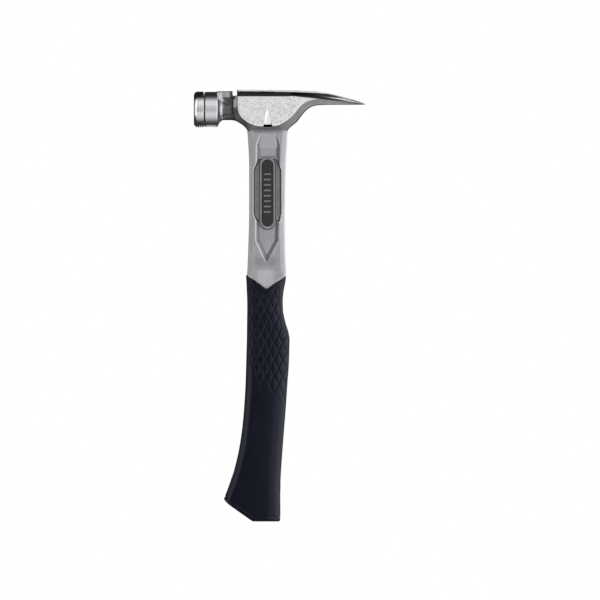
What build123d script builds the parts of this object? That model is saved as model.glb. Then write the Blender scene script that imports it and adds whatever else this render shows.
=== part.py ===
from build123d import *
import math
import os

os.makedirs("parts", exist_ok=True)

# ---------------------------------------------------------------------------
# One-piece titanium trim hammer. Millimetres. +Z runs up the handle, the
# striking face looks along -X, the claw points along +X, Y is the thickness.
# The origin is the middle of the flat at the butt of the rubber grip.
# ---------------------------------------------------------------------------

# thicknesses, measured from the mid-plane
CROWN_HALF = 1.2        # middle of the arched crown along the top of the head
SHOULDER_HALF = 5.0     # where the crown starts to fall faster
SHOULDER_SHARE = 0.36
CHEEK_EDGE_HALF = 11.3  # soft edge round the ground cheek
CHEEK_EDGE_SHARE = 0.14
RIM_HALF = 8.2          # shoulder where the crown turns into the cheek bevel
CHEEK_HALF = 11.5       # flat of the cheeks
HANDLE_HALF = 8.4       # flat of the handle flanges
HANDLE_EDGE_HALF = 7.25 # outer end of the slanted flanges
NECK_HALF = 5.3         # at the waist
BOSS_HALF = 7.8

# striking face, a screwed-on steel cap
FACE_Z = 351.73
CAP_R = 15.23
CAP_FRONT_X = -61.84
CAP_BACK_X = -53.22
SEAL_T = 0.75
SEAL_R = 14.35
STUD_R = 6.0
STUD_LEN = 12.0
STUD_FIT = 0.05         # radial running clearance of the stud in its bore
SEAL_BORE_R = 6.08
POLL_R = 15.11
POLL_FRONT_X = CAP_BACK_X + SEAL_T + 0.04
BORE_DEPTH = 14.0

# magnetic nail starter on top of the neck
STARTER_TOP_Z = 367.35
NAIL_GROOVE_R = 2.4
NAIL_GROOVE_DEPTH = 0.9
MAGNET_R = 2.5
MAGNET_T = 4.0
MAGNET_X = -34.18
NOTCH_X0 = -28.72
NOTCH_X1 = -24.96
NOTCH_FLOOR_Z = 363.42

# neck: distance along the head, half thickness
neck_stations = [(-40.16, 9.0), (-38.19, 7.2), (-35.63, 5.9), (-33.07, NECK_HALF), (-30.51, 5.5), (-28.38, 6.6), (-25.82, 8.2), (-23.68, 9.6)]

# claw slot
SLOT_ROOT_X = 46.0
SLOT_ROOT_HALF = 0.9
SLOT_TIP_X = 86.0
SLOT_TIP_HALF = 3.9

# handle web
CHANNEL_DEPTH = 2.8
ISLAND_HEIGHT = 1.8
INLAY_T = 0.9
STRIP_DEPTH = 1.0

# tang inside the grip
TANG_HALF_X = 7.2
TANG_FLAT_X = 4.0
TANG_HALF_Y = 4.6
TANG_BOTTOM_Z = 16.0

# grip
GRIP_TOP_Z = 209.96
GRIP_CORNER = 5.2       # corner flats of the eight-sided grip


# ---------------------------------------------------------------- head wires
# Each closed wire has the same six runs: crown, tip, underside, root, cheek
# corner and notch side. Stations run from the mid-plane out to the cheek.
crown_line = {
    "crown": [(-28.38, 368.63), (-5.33, 368.54), (16.00, 368.29), (33.07, 367.77), (41.61, 367.09), (46.73, 366.41), (54.41, 365.13), (64.65, 362.65), (74.89, 359.84), (81.72, 357.53), (84.54, 356.34)],
    "rim": [(-28.38, 366.58), (-5.33, 366.58), (16.00, 366.49), (33.07, 366.24), (41.61, 365.90), (46.73, 365.47), (54.41, 364.53), (64.65, 362.23), (74.89, 359.49), (81.72, 357.28), (84.37, 356.25)],
    "cheek": [(-23.68, 363.25), (-3.63, 363.25), (16.00, 363.25), (30.51, 363.08), (39.05, 362.57), (45.88, 362.05), (54.41, 361.71), (62.95, 361.20), (69.77, 360.01), (76.60, 358.30), (83.43, 356.34)],
}
under_line = {
    "crown": [(84.54, 355.74), (74.89, 355.57), (64.65, 355.57), (54.41, 355.57), (45.88, 355.31), (39.90, 354.37), (36.49, 352.67), (33.93, 350.62), (31.37, 347.80), (28.81, 344.39), (26.25, 341.14), (23.68, 338.92), (21.12, 336.96), (18.91, 334.57)],
    "rim": [(84.37, 355.91), (74.89, 355.91), (64.65, 355.99), (54.41, 355.99), (45.88, 355.74), (39.65, 354.89), (36.06, 353.18), (33.41, 351.04), (30.85, 348.23), (28.29, 344.90), (25.73, 341.66), (23.26, 339.44), (20.78, 337.47), (18.65, 335.08)],
    "cheek": [(83.43, 356.08), (76.60, 357.87), (69.77, 359.49), (62.95, 360.69), (54.41, 361.20), (45.88, 361.50), (39.90, 360.95), (35.63, 359.84), (31.37, 357.70), (27.95, 354.63), (24.96, 350.70), (22.40, 347.63), (19.42, 344.98), (16.00, 342.68)],
}
root_right = {"crown": (15.58, 332.27), "rim": (15.15, 332.44), "cheek": (10.03, 339.78)}
root_mid = {"crown": (1.07, 332.10), "rim": (1.07, 332.27), "cheek": (1.07, 338.24)}
root_left = {"crown": (-13.44, 332.27), "rim": (-13.02, 332.44), "cheek": (-8.75, 339.10)}
corner_line = {
    "crown": [(-16.69, 334.57), (-18.82, 337.13), (-21.38, 339.01), (-24.11, 340.80), (-26.67, 343.02), (-28.04, 346.44), (-28.55, 351.22), (-28.63, 356.34), (-28.38, 361.46)],
    "rim": [(-16.43, 335.08), (-18.48, 337.56), (-21.04, 339.44), (-23.77, 341.31), (-26.33, 343.45), (-27.70, 346.78), (-28.38, 351.22), (-28.46, 356.34), (-28.21, 361.46)],
    "cheek": [(-15.15, 341.49), (-17.62, 343.02), (-19.84, 344.90), (-21.55, 347.12), (-22.66, 349.51), (-23.26, 352.07), (-23.51, 355.06), (-23.68, 358.47), (-23.68, 361.46)],
}


def between(a, b, share):
    """A wire between two wires of as many points."""
    return [(p[0] + (q[0] - p[0]) * share, p[1] + (q[1] - p[1]) * share) for p, q in zip(a, b)]


for line in (crown_line, under_line, corner_line):
    line["shoulder"] = between(line["crown"], line["rim"], SHOULDER_SHARE)
    line["edge"] = between(line["cheek"], line["rim"], CHEEK_EDGE_SHARE)
for root in (root_right, root_mid, root_left):
    root["shoulder"] = between([root["crown"]], [root["rim"]], SHOULDER_SHARE)[0]
    root["edge"] = between([root["cheek"]], [root["rim"]], CHEEK_EDGE_SHARE)[0]
head_stations = [
    (-CHEEK_HALF, "cheek"), (-CHEEK_EDGE_HALF, "edge"), (-RIM_HALF, "rim"), (-SHOULDER_HALF, "shoulder"), (-CROWN_HALF, "crown"),
    (CROWN_HALF, "crown"), (SHOULDER_HALF, "shoulder"), (RIM_HALF, "rim"), (CHEEK_EDGE_HALF, "edge"), (CHEEK_HALF, "cheek"),
]

# ------------------------------------------------------------- handle wires
handle_left = [(-16.60, 336.71), (-15.92, 330.73), (-15.23, 320.49), (-14.72, 310.25), (-14.55, 286.35), (-14.55, 262.45), (-14.89, 247.09), (-15.41, 231.73), (-15.92, 218.07), (-16.34, 209.82)]
handle_right = [(17.03, 209.90), (16.60, 219.78), (16.17, 230.02), (16.00, 240.26), (16.00, 274.40), (16.26, 286.35), (16.86, 308.54), (17.62, 320.49), (18.05, 330.73), (18.82, 336.71)]
COLLAR_APEX = (0.38, 197.59)
# thickness station and how far the outline sits in from the widest line
handle_sections = [
    (-HANDLE_HALF, 4.3), (-HANDLE_EDGE_HALF, 0.45), (-HANDLE_EDGE_HALF + 0.75, 0.0),
    (HANDLE_EDGE_HALF - 0.75, 0.0), (HANDLE_EDGE_HALF, 0.45), (HANDLE_HALF, 4.3),
]
SPIGOT_HALF = 5.6
spigot = [(-12.59, 214.66), (13.02, 214.66), (11.31, 195.88), (6.19, 189.90), (-6.61, 189.90), (-11.74, 195.88)]
channel = [(-4.91, 330.73), (8.92, 330.73), (11.99, 321.34), (10.63, 239.41), (0.21, 220.03), (-9.00, 239.41), (-8.49, 321.34)]
# collar facets: outline on the flange, and how far each corner runs down per 1.1 mm of depth
chevron = [((-22.40, 217.05), 14.51), ((-0.38, 213.80), 8.54), ((23.68, 217.56), 14.51), ((23.68, 163.45), 0.0), ((-22.40, 163.45), 0.0)]
ISLAND_Z = 280.37
ISLAND_LEN = 61.45
ISLAND_W = 13.83
ISLAND_X = 0.98
INLAY_LEN = ISLAND_LEN - 4.4
INLAY_W = ISLAND_W - 4.0
RUNG_H = 1.5
rungs = [(-3.5 + n) * 4.6 for n in range(8)]
# wider and deeper pocket of the channel round the inlay
strip_pocket = [(-6.61, 310.25), (8.75, 310.25), (12.85, 300.01), (12.85, 262.45), (11.31, 255.62), (-7.89, 255.62), (-10.97, 262.45), (-10.97, 300.01)]
RAMP_Z0 = 317.0         # where the channel's floor starts to rise
RAMP_Z1 = 331.0         # and where it meets the flange under the head
RAMP_X = 2.0
RAMP_W = 19.0

# side nail puller on the cheeks
PULLER_X = 1.24
PULLER_TOP_Z = 352.41
PULLER_BASE_Z = 338.33
PULLER_HALF = 3.33
PULLER_DEPTH = 2.4
PULLER_POCKET_H = 1.71
PULLER_POCKET_DEPTH = 6.0

# the space of each side's nail-puller ramp: a triangle, deepening to its base
puller_ramps = []
for side in (1, -1):
    with BuildPart() as ramp:
        with BuildSketch(Plane.XZ):
            with BuildLine():
                Polyline((PULLER_X, PULLER_TOP_Z + 0.8), (PULLER_X + PULLER_HALF, PULLER_BASE_Z), (PULLER_X - PULLER_HALF, PULLER_BASE_Z), close=True)
            make_face()
        extrude(amount=20, both=True)
        with BuildSketch(Plane.YZ):
            with BuildLine():
                Polyline(
                    (-side * (CHEEK_HALF + 1), PULLER_TOP_Z + 2),
                    (-side * (CHEEK_HALF - 0.02), PULLER_TOP_Z + 1.2),
                    (-side * (CHEEK_HALF - PULLER_DEPTH), PULLER_BASE_Z),
                    (-side * (CHEEK_HALF + 1), PULLER_BASE_Z),
                    close=True,
                )
            make_face()
        extrude(amount=40, both=True, mode=Mode.INTERSECT)
    puller_ramps.append(ramp)

# ---------------------------------------------------------- titanium body
with BuildPart() as titanium_body:
    # head: crown, cheek bevels, cheeks and claw
    for y, key in head_stations:
        with BuildSketch(Plane.XZ.offset(-y)):
            with BuildLine():
                Spline(*crown_line[key])
                Line(crown_line[key][-1], under_line[key][0])
                Spline(*under_line[key])
                Line(under_line[key][-1], root_right[key])
                Spline(root_right[key], root_mid[key], root_left[key])
                Line(root_left[key], corner_line[key][0])
                Spline(*corner_line[key])
                Line(corner_line[key][-1], crown_line[key][0])
            make_face()
    loft(ruled=True)

    # poll ring and the cone behind it
    with BuildSketch(Plane.XZ):
        with BuildLine():
            Polyline(
                (POLL_FRONT_X, FACE_Z),
                (POLL_FRONT_X, FACE_Z + POLL_R - 0.5),
                (POLL_FRONT_X + 0.5, FACE_Z + POLL_R),
                (-42.03, FACE_Z + POLL_R),
                (-41.52, FACE_Z + POLL_R - 0.5),
            )
            Spline(
                (-41.52, FACE_Z + POLL_R - 0.5),
                (-40.67, FACE_Z + 12.97),
                (-39.65, FACE_Z + 11.18),
                (-38.11, FACE_Z + 9.90),
                (-36.06, FACE_Z + 8.54),
                (-33.07, FACE_Z + 7.34),
                (-30.09, FACE_Z + 6.49),
            )
            Polyline(
                (-30.09, FACE_Z + 6.49),
                (-30.09, FACE_Z),
                (POLL_FRONT_X, FACE_Z),
            )
        make_face()
    revolve(axis=Axis((0, 0, FACE_Z), (1, 0, 0)))

    # waisted neck between the cone and the cheeks, with rounded lower edges
    for x, half in neck_stations:
        with BuildSketch(Plane.YZ.offset(x)):
            with BuildLine():
                Polyline(
                    (-half, 363.59), (half, 363.59),
                    (half, 345.58), (half - 0.7, 343.88), (half - 2.4, 342.55),
                    (-half + 2.4, 342.55), (-half + 0.7, 343.88), (-half, 345.58),
                    close=True,
                )
            make_face()
    loft(ruled=True)

    # throat web under the neck, running into the cheek corner
    with BuildSketch(Plane.XZ):
        with BuildLine():
            Spline((-32.65, 342.55), (-29.23, 342.51), (-26.25, 341.83), (-23.68, 340.63), (-20.70, 338.50))
            Polyline((-20.70, 338.50), (-17.28, 344.39), (-32.65, 344.39), (-32.65, 342.55))
        make_face()
    extrude(amount=NECK_HALF - 2.4, both=True)

    # nail starter boss
    with BuildSketch(Plane.YZ.offset(-41.86)):
        with BuildLine():
            Polyline(
                (-BOSS_HALF, 361.80), (BOSS_HALF, 361.80),
                (BOSS_HALF, 365.55), (BOSS_HALF - 1.2, STARTER_TOP_Z), (-BOSS_HALF + 1.2, STARTER_TOP_Z), (-BOSS_HALF, 365.55),
                close=True,
            )
        make_face()
    extrude(amount=NOTCH_X0 - (-41.86))

    # handle down to the collar
    for y, inset in handle_sections:
        left = [(x + inset, z) for x, z in handle_left[:-1]] + [between([handle_left[-1]], [COLLAR_APEX], inset / (COLLAR_APEX[0] - handle_left[-1][0]))[0]]
        right = [between([handle_right[0]], [COLLAR_APEX], inset / (handle_right[0][0] - COLLAR_APEX[0]))[0]] + [(x - inset, z) for x, z in handle_right[1:]]
        with BuildSketch(Plane.XZ.offset(-y)):
            with BuildLine():
                Spline(*left)
                Line(left[-1], COLLAR_APEX)
                Line(COLLAR_APEX, right[0])
                Spline(*right)
                Line(right[-1], left[0])
            make_face()
    loft(ruled=True)

    # tang, six-sided, inside the grip
    with BuildSketch(Plane.XY.offset(TANG_BOTTOM_Z)):
        with BuildLine():
            Polyline(
                (-TANG_HALF_X, 0), (-TANG_FLAT_X, -TANG_HALF_Y), (TANG_FLAT_X, -TANG_HALF_Y),
                (TANG_HALF_X, 0), (TANG_FLAT_X, TANG_HALF_Y), (-TANG_FLAT_X, TANG_HALF_Y),
                close=True,
            )
        make_face()
    extrude(amount=216.36 - TANG_BOTTOM_Z)

    # shoulder that fills the top of the grip behind its V mouth
    with BuildSketch(Plane.XZ):
        with BuildLine():
            Polyline(*spigot, close=True)
        make_face()
    extrude(amount=SPIGOT_HALF, both=True)

    # notch for the nail's head
    with BuildSketch(Plane.XZ):
        with Locations(((NOTCH_X0 + NOTCH_X1) / 2, NOTCH_FLOOR_Z + 10)):
            Rectangle(NOTCH_X1 - NOTCH_X0, 20)
    extrude(amount=20, both=True, mode=Mode.SUBTRACT)

    # nail groove over the starter boss and the poll ring
    with BuildSketch(Plane.YZ.offset(POLL_FRONT_X - 1)):
        with Locations((0, STARTER_TOP_Z - NAIL_GROOVE_DEPTH + NAIL_GROOVE_R)):
            Circle(NAIL_GROOVE_R)
    extrude(amount=NOTCH_X0 - POLL_FRONT_X + 2, mode=Mode.SUBTRACT)

    # magnet pocket, open to the groove
    with BuildSketch(Plane.XY.offset(STARTER_TOP_Z + 1)):
        with Locations((MAGNET_X, 0)):
            Circle(MAGNET_R)
    extrude(amount=-(1 + NAIL_GROOVE_DEPTH + 0.2 + MAGNET_T), mode=Mode.SUBTRACT)

    # bore for the face's stud
    with BuildSketch(Plane.YZ.offset(POLL_FRONT_X - 1)):
        with Locations((0, FACE_Z)):
            Circle(STUD_R + STUD_FIT)
    extrude(amount=BORE_DEPTH + 1, mode=Mode.SUBTRACT)

    # claw slot, wider on top so the tines grip under a nail's head
    for z, grow in ((349.51, -0.3), (369.99, 0.9)):
        with BuildSketch(Plane.XY.offset(z)):
            with BuildLine():
                Polyline(
                    (SLOT_ROOT_X - grow, -SLOT_ROOT_HALF - grow * 0.5),
                    (SLOT_TIP_X + 2, -SLOT_TIP_HALF - grow),
                    (SLOT_TIP_X + 2, SLOT_TIP_HALF + grow),
                    (SLOT_ROOT_X - grow, SLOT_ROOT_HALF + grow * 0.5),
                    (SLOT_ROOT_X - 1.2 - grow, 0),
                    close=True,
                )
            make_face()
    loft(ruled=True, mode=Mode.SUBTRACT)

    # both sides of the handle: channel, side strips, collar step
    for side in (1, -1):
        face = Plane((0, -side * HANDLE_HALF, 0), x_dir=(1, 0, 0), z_dir=(0, -side, 0))
        flip = 1 if side == 1 else -1
        with BuildSketch(face):
            with BuildLine():
                Polyline(*[(x, flip * z) for x, z in channel][::flip], close=True)
            make_face()
        extrude(amount=-CHANNEL_DEPTH, taper=42, mode=Mode.SUBTRACT)
        with BuildSketch(face):
            with BuildLine():
                Polyline(*[(x, flip * z) for x, z in strip_pocket][::flip], close=True)
            make_face()
        extrude(amount=-CHANNEL_DEPTH - STRIP_DEPTH, taper=14, mode=Mode.SUBTRACT)
        # ramp that brings the channel's floor up to the flange under the head
        with BuildSketch(Plane.YZ.offset(RAMP_X)):
            with BuildLine():
                Polyline(
                    (-side * (HANDLE_HALF - 0.02), RAMP_Z1),
                    (-side * (HANDLE_HALF - CHANNEL_DEPTH - 0.2), RAMP_Z0),
                    (-side * (HANDLE_HALF - CHANNEL_DEPTH - 1.5), RAMP_Z0),
                    (-side * (HANDLE_HALF - CHANNEL_DEPTH - 1.5), RAMP_Z1),
                    close=True,
                )
            make_face()
        extrude(amount=RAMP_W / 2, both=True)
        for depth, fall_side in ((2.0, -2.0 / 1.1), (-2.0, 2.0 / 1.1)):
            with BuildSketch(face.offset(depth)):
                with BuildLine():
                    Polyline(*[(x, flip * (z - drop * fall_side)) for (x, z), drop in chevron][::flip], close=True)
                make_face()
        loft(ruled=True, mode=Mode.SUBTRACT)
        # island that carries the inlay, with its pocket
        with BuildSketch(face.offset(-CHANNEL_DEPTH - STRIP_DEPTH - 0.2)):
            with Locations((ISLAND_X, flip * ISLAND_Z)):
                SlotOverall(ISLAND_LEN, ISLAND_W, rotation=90)
        extrude(amount=ISLAND_HEIGHT + STRIP_DEPTH + 0.2, taper=6)
        with BuildSketch(face.offset(-CHANNEL_DEPTH + ISLAND_HEIGHT)):
            with Locations((ISLAND_X, flip * ISLAND_Z)):
                SlotOverall(INLAY_LEN, INLAY_W, rotation=90)
        extrude(amount=-INLAY_T, mode=Mode.SUBTRACT)

        # side nail puller: a V ramp with a pocket for the nail's head
        cheek = Plane((0, -side * CHEEK_HALF, 0), x_dir=(1, 0, 0), z_dir=(0, -side, 0))
        add(puller_ramps[0 if side == 1 else 1].part, mode=Mode.SUBTRACT)
        with BuildSketch(cheek.offset(0.5)):
            with Locations((PULLER_X, flip * (PULLER_BASE_Z - PULLER_POCKET_H / 2))):
                Rectangle(2 * PULLER_HALF + 0.8, PULLER_POCKET_H)
        extrude(amount=-PULLER_POCKET_DEPTH - 0.5, mode=Mode.SUBTRACT)

titanium_body.part.label = "titanium_body"
export_step(titanium_body.part, "parts/titanium_body.step")

# ---------------------------------------------------------- striking face
with BuildPart() as striking_face:
    with BuildSketch(Plane.XZ):
        with BuildLine():
            Polyline(
                (CAP_FRONT_X, FACE_Z),
                (CAP_FRONT_X, FACE_Z + CAP_R - 3.0),
                (CAP_FRONT_X + 0.25, FACE_Z + CAP_R - 2.0),
                (CAP_FRONT_X + 1.0, FACE_Z + CAP_R - 0.95),
                (CAP_FRONT_X + 1.9, FACE_Z + CAP_R - 0.25),
                (CAP_FRONT_X + 2.9, FACE_Z + CAP_R),
                (CAP_BACK_X - 0.7, FACE_Z + CAP_R),
                (CAP_BACK_X, FACE_Z + CAP_R - 0.7),
                (CAP_BACK_X, FACE_Z + STUD_R),
                (CAP_BACK_X + STUD_LEN - 1.0, FACE_Z + STUD_R),
                (CAP_BACK_X + STUD_LEN, FACE_Z + STUD_R - 1.0),
                (CAP_BACK_X + STUD_LEN, FACE_Z),
                close=True,
            )
        make_face()
    revolve(axis=Axis((0, 0, FACE_Z), (1, 0, 0)))
striking_face.part.label = "striking_face"
export_step(striking_face.part, "parts/striking_face.step")

# ------------------------------------------------- seal ring under the face
with BuildPart() as face_seal_ring:
    with BuildSketch(Plane.YZ.offset(CAP_BACK_X + 0.02)):
        with Locations((0, FACE_Z)):
            Circle(SEAL_R)
            Circle(SEAL_BORE_R, mode=Mode.SUBTRACT)
    extrude(amount=SEAL_T)
face_seal_ring.part.label = "face_seal_ring"
export_step(face_seal_ring.part, "parts/face_seal_ring.step")

# ----------------------------------------------------------- nail magnet
with BuildPart() as nail_magnet:
    with BuildSketch(Plane.XY.offset(STARTER_TOP_Z - NAIL_GROOVE_DEPTH - 0.2 - MAGNET_T)):
        with Locations((MAGNET_X, 0)):
            Circle(MAGNET_R)
    extrude(amount=MAGNET_T)
    chamfer(nail_magnet.faces().sort_by(Axis.Z)[-1].edges(), length=0.3)
nail_magnet.part.label = "nail_magnet"
export_step(nail_magnet.part, "parts/nail_magnet.step")

# --------------------------------------------------- dark inlays, both sides
for side, name in ((1, "inlay_front"), (-1, "inlay_back")):
    flip = 1 if side == 1 else -1
    face = Plane((0, -side * HANDLE_HALF, 0), x_dir=(1, 0, 0), z_dir=(0, -side, 0))
    with BuildPart() as inlay:
        with BuildSketch(face.offset(-CHANNEL_DEPTH + ISLAND_HEIGHT - INLAY_T)):
            with Locations((ISLAND_X, flip * ISLAND_Z)):
                SlotOverall(INLAY_LEN - 0.1, INLAY_W - 0.1, rotation=90)
        extrude(amount=INLAY_T + 0.15)
        # plain slots across the plate, through which the metal shows
        with BuildSketch(face.offset(-CHANNEL_DEPTH + ISLAND_HEIGHT + 0.3)):
            with Locations(*[(ISLAND_X, flip * (ISLAND_Z + d)) for d in rungs]):
                SlotOverall(INLAY_W - 3.4, RUNG_H)
        extrude(amount=-INLAY_T - 0.6, mode=Mode.SUBTRACT)
    inlay.part.label = name
    export_step(inlay.part, f"parts/{name}.step")

# ------------------------------------------------------------ rubber grip
# station height, face-side edge, claw-side edge, half thickness
grip_stations = [
    (0.00, -12.16, 11.74, 11.20, 2.40),
    (1.45, -32.65, 12.25, 11.80, 3.40),
    (8.11, -35.89, 12.16, 12.40, 4.40),
    (18.35, -36.23, 11.99, 12.80, 5.00),
    (21.76, -35.21, 11.99, 12.90, 5.20),
    (28.59, -32.65, 12.16, 13.00, 5.20),
    (35.42, -30.26, 12.25, 13.00, 5.20),
    (42.25, -27.87, 12.59, 13.00, 5.20),
    (49.08, -26.07, 13.02, 13.00, 5.20),
    (55.90, -24.45, 13.53, 13.00, 5.20),
    (62.73, -23.09, 14.04, 13.00, 5.20),
    (76.39, -20.95, 15.06, 13.00, 5.20),
    (90.04, -19.50, 16.17, 13.00, 5.20),
    (103.70, -18.48, 17.20, 13.00, 5.20),
    (117.36, -17.71, 18.05, 13.00, 5.20),
    (134.43, -17.20, 19.33, 12.90, 5.20),
    (148.08, -16.77, 19.76, 12.80, 5.20),
    (154.91, -16.60, 19.93, 12.70, 5.20),
    (161.74, -16.52, 18.91, 12.60, 5.20),
    (168.57, -16.43, 16.77, 12.40, 5.20),
    (175.39, -16.34, 15.15, 12.20, 5.00),
    (182.22, -16.26, 14.21, 12.00, 4.80),
    (189.05, -16.34, 14.13, 11.70, 4.60),
    (195.88, -16.60, 14.72, 11.30, 4.30),
    (202.71, -16.86, 16.00, 10.70, 3.80),
    (207.83, -17.20, 16.77, 10.20, 3.40),
    (209.96, -17.24, 16.77, 9.80, 3.20),
]
with BuildPart() as rubber_grip:
    for z, x0, x1, h, c in grip_stations:
        with BuildSketch(Plane.XY.offset(z)):
            with BuildLine():
                Polyline(
                    (x0 + c, -h), (x1 - c, -h), (x1, -h + c), (x1, h - c),
                    (x1 - c, h), (x0 + c, h), (x0, h - c), (x0, -h + c),
                    close=True,
                )
            make_face()
    loft(ruled=True)
    # slanted toe of the butt
    with BuildSketch(Plane.XZ):
        with BuildLine():
            Polyline((-40.33, 18.01), (-36.06, 18.01), (-32.30, 14.42), (-22.15, 7.34), (-11.65, 0.00), (-11.65, -7.25), (-48.01, -7.25), (-48.01, 18.01), close=True)
        make_face()
    extrude(amount=40, both=True, mode=Mode.SUBTRACT)
    # V mouth round the collar
    with BuildSketch(Plane.XZ):
        with BuildLine():
            Polyline((-22.32, 214.14), (0.38, 197.54), (23.00, 214.28), (23.00, 227.46), (-22.32, 227.46), close=True)
        make_face()
    extrude(amount=40, both=True, mode=Mode.SUBTRACT)
    # room for the shoulder
    with BuildSketch(Plane.XZ):
        with BuildLine():
            Polyline(*spigot, close=True)
        make_face()
    extrude(amount=SPIGOT_HALF, both=True, mode=Mode.SUBTRACT)
    # socket for the tang
    with BuildSketch(Plane.XY.offset(TANG_BOTTOM_Z)):
        with BuildLine():
            Polyline(
                (-TANG_HALF_X, 0), (-TANG_FLAT_X, -TANG_HALF_Y), (TANG_FLAT_X, -TANG_HALF_Y),
                (TANG_HALF_X, 0), (TANG_FLAT_X, TANG_HALF_Y), (-TANG_FLAT_X, TANG_HALF_Y),
                close=True,
            )
        make_face()
    extrude(amount=300, mode=Mode.SUBTRACT)
rubber_grip.part.label = "rubber_grip"
export_step(rubber_grip.part, "parts/rubber_grip.step")
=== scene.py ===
import math
import bpy
import bmesh
import numpy as np
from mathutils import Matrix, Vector


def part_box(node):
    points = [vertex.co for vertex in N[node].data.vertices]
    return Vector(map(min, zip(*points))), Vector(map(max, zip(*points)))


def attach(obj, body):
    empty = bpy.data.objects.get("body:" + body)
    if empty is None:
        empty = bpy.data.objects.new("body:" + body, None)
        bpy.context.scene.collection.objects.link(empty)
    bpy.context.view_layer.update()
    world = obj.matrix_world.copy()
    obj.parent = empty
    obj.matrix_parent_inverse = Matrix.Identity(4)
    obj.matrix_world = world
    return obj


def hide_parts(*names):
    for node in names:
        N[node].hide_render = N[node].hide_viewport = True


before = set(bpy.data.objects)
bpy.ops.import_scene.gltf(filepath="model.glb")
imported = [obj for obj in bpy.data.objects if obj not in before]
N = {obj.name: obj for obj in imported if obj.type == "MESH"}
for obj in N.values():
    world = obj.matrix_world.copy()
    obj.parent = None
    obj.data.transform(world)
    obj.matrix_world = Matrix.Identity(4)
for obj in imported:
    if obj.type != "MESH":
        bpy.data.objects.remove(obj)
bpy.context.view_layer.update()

scene = bpy.context.scene


# ------------------------------------------------------------------ nodes
class Mat:
    """A node material with short calls for the nodes it uses."""

    def __init__(self, name):
        self.m = bpy.data.materials.new(name)
        self.m.use_nodes = True
        self.t = self.m.node_tree
        self.b = next(n for n in self.t.nodes if n.type == "BSDF_PRINCIPLED")
        self.pos = self.n("ShaderNodeTexCoord").outputs["Object"]

    def n(self, kind, **props):
        node = self.t.nodes.new(kind)
        for k, v in props.items():
            setattr(node, k, v)
        return node

    def put(self, socket, value):
        if hasattr(value, "is_output"):
            self.t.links.new(value, socket)
        else:
            socket.default_value = value

    def math(self, op, a, b=0.0, clamp=False):
        node = self.n("ShaderNodeMath", operation=op, use_clamp=clamp)
        self.put(node.inputs[0], a)
        self.put(node.inputs[1], b)
        return node.outputs[0]

    def axes(self):
        s = self.n("ShaderNodeSeparateXYZ")
        self.put(s.inputs[0], self.pos)
        return s.outputs[0], s.outputs[1], s.outputs[2]

    def scaled(self, sx, sy, sz):
        m = self.n("ShaderNodeMapping")
        self.put(m.inputs["Vector"], self.pos)
        m.inputs["Scale"].default_value = (sx, sy, sz)
        return m.outputs[0]

    def noise(self, scale, detail=3.0, rough=0.5, vector=None, distortion=0.0):
        node = self.n("ShaderNodeTexNoise")
        self.put(node.inputs["Vector"], self.pos if vector is None else vector)
        node.inputs["Scale"].default_value = scale
        node.inputs["Detail"].default_value = detail
        node.inputs["Roughness"].default_value = rough
        node.inputs["Distortion"].default_value = distortion
        return node.outputs["Fac"]

    def voronoi(self, scale, feature="F1", vector=None, out="Distance"):
        node = self.n("ShaderNodeTexVoronoi", feature=feature)
        self.put(node.inputs["Vector"], self.pos if vector is None else vector)
        node.inputs["Scale"].default_value = scale
        return node.outputs[out]

    def ramp(self, fac, *stops):
        node = self.n("ShaderNodeValToRGB")
        r = node.color_ramp
        r.elements[0].position, r.elements[0].color = stops[0][0], (*stops[0][1], 1)
        r.elements[1].position, r.elements[1].color = stops[-1][0], (*stops[-1][1], 1)
        for p, c in stops[1:-1]:
            e = r.elements.new(p)
            e.color = (*c, 1)
        self.put(node.inputs[0], fac)
        return node.outputs[0]

    def span(self, value, a, b, lo=0.0, hi=1.0, smooth=True):
        node = self.n("ShaderNodeMapRange", interpolation_type="SMOOTHSTEP" if smooth else "LINEAR")
        node.clamp = True
        self.put(node.inputs["Value"], value)
        node.inputs["From Min"].default_value = a
        node.inputs["From Max"].default_value = b
        node.inputs["To Min"].default_value = lo
        node.inputs["To Max"].default_value = hi
        return node.outputs[0]

    def mix(self, fac, a, b, blend="MIX"):
        node = self.n("ShaderNodeMix", data_type="RGBA", blend_type=blend)
        self.put(node.inputs[0], fac)
        self.put(node.inputs[6], a)
        self.put(node.inputs[7], b)
        return node.outputs[2]

    def bump(self, height, strength=0.3, distance=0.0002, normal=None):
        node = self.n("ShaderNodeBump")
        node.inputs["Strength"].default_value = strength
        node.inputs["Distance"].default_value = distance
        self.put(node.inputs["Height"], height)
        if normal is not None:
            self.put(node.inputs["Normal"], normal)
        return node.outputs[0]

    def set(self, **kw):
        for k, v in kw.items():
            self.put(self.b.inputs[k.replace("_", " ")], v)
        return self.m


def grey(v, tint=(1.0, 1.0, 1.0)):
    return tuple(v * t for t in tint)


TI = (0.985, 0.975, 1.03)


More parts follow.
